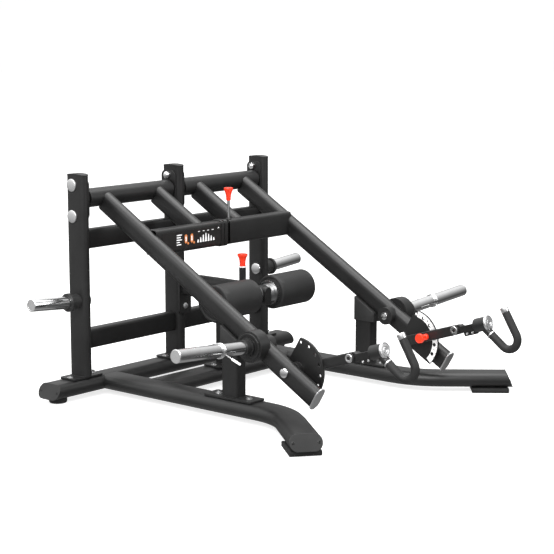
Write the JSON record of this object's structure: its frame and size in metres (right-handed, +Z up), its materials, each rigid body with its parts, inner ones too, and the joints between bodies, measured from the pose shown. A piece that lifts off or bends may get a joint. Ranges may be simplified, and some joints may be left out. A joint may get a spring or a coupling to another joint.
{
  "type": "squat machine",
  "caption": "Plate-loaded squat machine with two hinged lever arms, J-shaped hand grips on indexed levers, sliding foam roller leg pads and a flat-oval tube frame.",
  "frame": {"origin": "on the floor, below the middle of the machine's overall box", "axes": "+X to the machine's right as seen from the front, +Z up, -Y towards the handles"},
  "size_m": [1.7966, 1.5606, 0.9],
  "materials": {
    "black_powder_coat": "satin black powder coat",
    "dark_powder_coat": "darker satin black powder coat",
    "black_plastic": "matt moulded plastic",
    "black_rubber": "matt rubber",
    "black_foam": "closed-cell foam with a fine grain",
    "chrome_plate": "polished chrome plate",
    "red_plastic": "glossy red plastic knob on a steel pin",
    "placard_face": "dark printed sheet"
  },
  "bodies": {
    "frame": {"arm_rest_left": "black_plastic", "arm_rest_right": "black_plastic", "front_beam": "black_powder_coat", "front_foot_left": "black_rubber", "front_foot_right": "black_rubber", "lower_rail_left": "dark_powder_coat", "lower_rail_right": "dark_powder_coat", "middle_flange_left": "black_powder_coat", "middle_flange_right": "black_powder_coat", "pivot_shaft_left": "black_powder_coat", "pivot_shaft_right": "black_powder_coat", "rear_beam": "black_powder_coat", "rear_foot_left": "black_rubber", "rear_foot_right": "black_rubber", "rest_post_left": "black_powder_coat", "rest_post_right": "black_powder_coat", "roller_beam": "black_powder_coat", "roller_post": "black_powder_coat", "side_beam_left": "black_powder_coat", "side_beam_right": "black_powder_coat", "storage_horn_left": "chrome_plate", "storage_horn_right": "chrome_plate", "upper_rail_left": "dark_powder_coat", "upper_rail_right": "dark_powder_coat", "upright_left": "black_powder_coat", "upright_middle": "black_powder_coat", "upright_right": "black_powder_coat"},
    "left_arm": {"left_pivot_tube": "black_powder_coat", "left_outer_arm": "black_powder_coat", "left_inner_arm": "black_powder_coat", "left_crossbar": "black_powder_coat", "left_weight_horn": "chrome_plate", "left_index_plate": "black_powder_coat", "left_arm_cap": "chrome_plate", "placard": "placard_face"},
    "right_arm": {"right_pivot_tube": "black_powder_coat", "right_outer_arm": "black_powder_coat", "right_inner_arm": "black_powder_coat", "right_crossbar": "black_powder_coat", "right_weight_horn": "chrome_plate", "right_index_plate": "black_powder_coat", "right_arm_cap": "chrome_plate"},
    "lock_pin": {"lock_pin": "red_plastic"},
    "roller_carriage": {"roller_carriage": "black_powder_coat", "roller_axle": "chrome_plate"},
    "foam_roller_left": {"foam_roller_left": "black_foam"},
    "foam_roller_right": {"foam_roller_right": "black_foam"},
    "roller_pull_pin": {"roller_pull_pin": "red_plastic"},
    "left_clip": {"left_spring_clip": "chrome_plate"},
    "left_lever": {"left_lever": "black_powder_coat"},
    "left_index_pin": {"left_index_pin": "red_plastic"},
    "left_yoke": {"left_yoke": "black_powder_coat"},
    "left_grip": {"left_grip_bar": "chrome_plate", "left_grip_sleeve": "black_foam"},
    "right_clip": {"right_spring_clip": "chrome_plate"},
    "right_lever": {"right_lever": "black_powder_coat"},
    "right_index_pin": {"right_index_pin": "red_plastic"},
    "right_yoke": {"right_yoke": "black_powder_coat"},
    "right_grip": {"right_grip_bar": "chrome_plate", "right_grip_sleeve": "black_foam"}
  },
  "joints": [
    {"name": "left_arm_lift", "type": "hinge", "parent": "frame", "child": "left_arm", "pos_m": [-0.271, 0.7203, 0.798], "axis": [-1, 0, 0], "range_deg": [0, 45]},
    {"name": "left_clip_slide", "type": "slide", "parent": "left_arm", "child": "left_clip", "axis": [-0.9951, -0.0504, 0.0856], "range_m": [-0.119, 0.194]},
    {"name": "left_lever_angle", "type": "hinge", "parent": "left_arm", "child": "left_lever", "pos_m": [-0.3365, -0.25937, 0.22093], "axis": [-1, 0, 0], "range_deg": [-43.5, 65.25]},
    {"name": "left_index_pin_pull", "type": "slide", "parent": "left_lever", "child": "left_index_pin", "axis": [1, 0, 0], "range_m": [0, 0.012], "stiffness_N_per_m": 600, "springref_m": -0.01},
    {"name": "left_yoke_tilt", "type": "hinge", "parent": "left_lever", "child": "left_yoke", "pos_m": [-0.3365, -0.49052, 0.29425], "axis": [-1, 0, 0], "range_deg": [-25, 25]},
    {"name": "left_grip_swivel", "type": "hinge", "parent": "left_yoke", "child": "left_grip", "pos_m": [-0.3365, -0.60252, 0.32978], "axis": [0, -0.9532, 0.3024], "range_deg": [-90, 90]},
    {"name": "right_arm_lift", "type": "hinge", "parent": "frame", "child": "right_arm", "pos_m": [0.271, 0.7203, 0.798], "axis": [-1, 0, 0], "range_deg": [0, 45]},
    {"name": "right_clip_slide", "type": "slide", "parent": "right_arm", "child": "right_clip", "axis": [0.9951, -0.0504, 0.0856], "range_m": [-0.143, 0.17]},
    {"name": "right_lever_angle", "type": "hinge", "parent": "right_arm", "child": "right_lever", "pos_m": [0.3365, -0.25937, 0.22093], "axis": [-1, 0, 0], "range_deg": [-43.5, 65.25]},
    {"name": "right_index_pin_pull", "type": "slide", "parent": "right_lever", "child": "right_index_pin", "axis": [-1, 0, 0], "range_m": [0, 0.012], "stiffness_N_per_m": 600, "springref_m": -0.01},
    {"name": "right_yoke_tilt", "type": "hinge", "parent": "right_lever", "child": "right_yoke", "pos_m": [0.3365, -0.49052, 0.29425], "axis": [-1, 0, 0], "range_deg": [-25, 25]},
    {"name": "right_grip_swivel", "type": "hinge", "parent": "right_yoke", "child": "right_grip", "pos_m": [0.3365, -0.60252, 0.32978], "axis": [0, -0.9532, 0.3024], "range_deg": [-90, 90]},
    {"name": "lock_pin_pull", "type": "slide", "parent": "right_arm", "child": "lock_pin", "axis": [0, 0, 1], "range_m": [0, 0.014], "stiffness_N_per_m": 600, "springref_m": -0.01},
    {"name": "roller_carriage_slide", "type": "slide", "parent": "frame", "child": "roller_carriage", "axis": [0, -1, 0], "range_m": [-0.015, 0.12]},
    {"name": "foam_roller_left_spin", "type": "hinge", "parent": "roller_carriage", "child": "foam_roller_left", "pos_m": [-0.168, 0.2403, 0.399], "axis": [1, 0, 0], "continuous": true},
    {"name": "foam_roller_right_spin", "type": "hinge", "parent": "roller_carriage", "child": "foam_roller_right", "pos_m": [0.168, 0.2403, 0.399], "axis": [1, 0, 0], "continuous": true},
    {"name": "roller_pin_pull", "type": "slide", "parent": "frame", "child": "roller_pull_pin", "axis": [0, 0, 1], "range_m": [0, 0.012], "stiffness_N_per_m": 600, "springref_m": -0.01}
  ]
}
